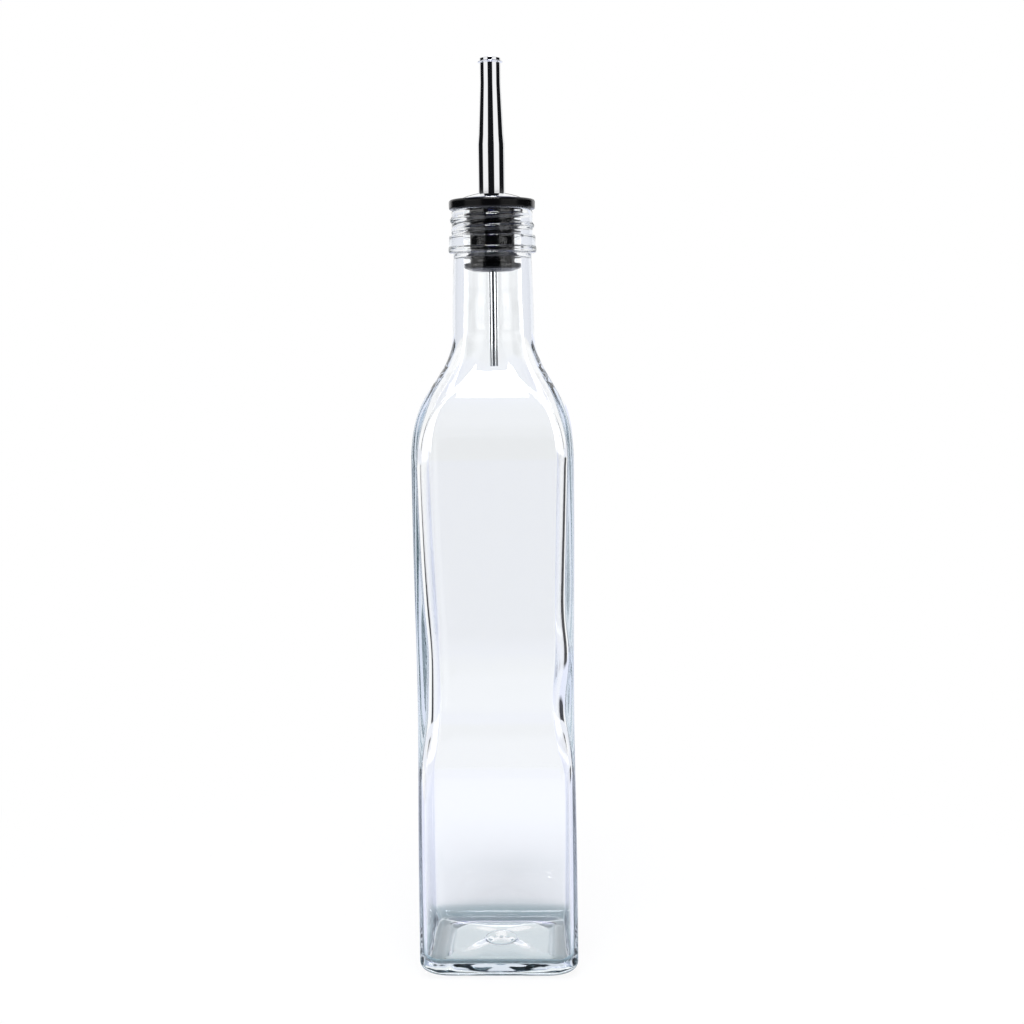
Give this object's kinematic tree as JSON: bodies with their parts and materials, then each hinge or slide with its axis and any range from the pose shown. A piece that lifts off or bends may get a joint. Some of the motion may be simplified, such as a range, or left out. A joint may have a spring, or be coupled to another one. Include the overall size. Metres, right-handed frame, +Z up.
{
  "type": "oil bottle with pourer",
  "caption": "Square clear glass oil bottle with a threaded neck, and a lift-out pourer with a steel spout, dome washer and air tube in a black ribbed stopper.",
  "frame": {"origin": "middle of the bottle's base, on the plane it stands on", "axes": "+Z up along the bottle's axis; the four flat sides face +X, -X, +Y and -Y; the front face in the picture faces -Y"},
  "size_m": [0.0552, 0.0552, 0.316],
  "materials": {
    "glass": "clear blown soda-lime glass with a faint blue-green tint",
    "rubber": "moulded, satin",
    "steel_spout": "mirror-polished stainless steel",
    "chrome_dome": "pressed and bright plated",
    "steel_tube": "drawn stainless tube"
  },
  "bodies": {
    "bottle": {"glass_bottle": "glass"},
    "pourer": {"stopper": "rubber", "spout_tube": "steel_spout", "dome_collar": "chrome_dome", "breather_tube": "steel_tube"}
  },
  "joints": [
    {"name": "pourer_pull", "type": "slide", "parent": "bottle", "child": "pourer", "axis": [0, 0, 1], "range_m": [0, 0.06]}
  ]
}
